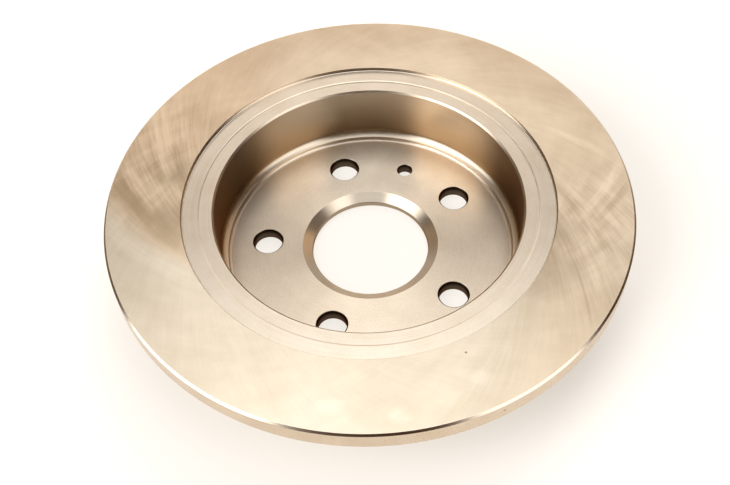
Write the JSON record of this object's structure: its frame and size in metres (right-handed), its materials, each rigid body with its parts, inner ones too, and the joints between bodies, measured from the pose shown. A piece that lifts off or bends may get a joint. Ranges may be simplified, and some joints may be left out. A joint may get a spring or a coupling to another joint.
{
  "type": "brake disc rotor",
  "caption": "Unvented car brake disc: a flat ground friction ring on a deep hat, with a chamfered pilot bore, a ring of bolt holes and a small locating hole.",
  "frame": {"origin": "centre of the wheel seat, the flat outer face of the hat that the disc lies on", "axes": "+Z along the disc's axis towards the hub side, +Y through the locating hole"},
  "size_m": [0.292, 0.292, 0.048],
  "materials": {
    "ground_iron": "ground, cross-hatched",
    "turned_iron": "fine turned",
    "hat_iron": "smooth turned",
    "seat_iron": "faced, satin"
  },
  "bodies": {
    "root": {"friction_ring": "ground_iron", "neck_ring": "turned_iron", "hat_wall": "hat_iron", "mounting_flange": "seat_iron"}
  },
  "joints": []
}
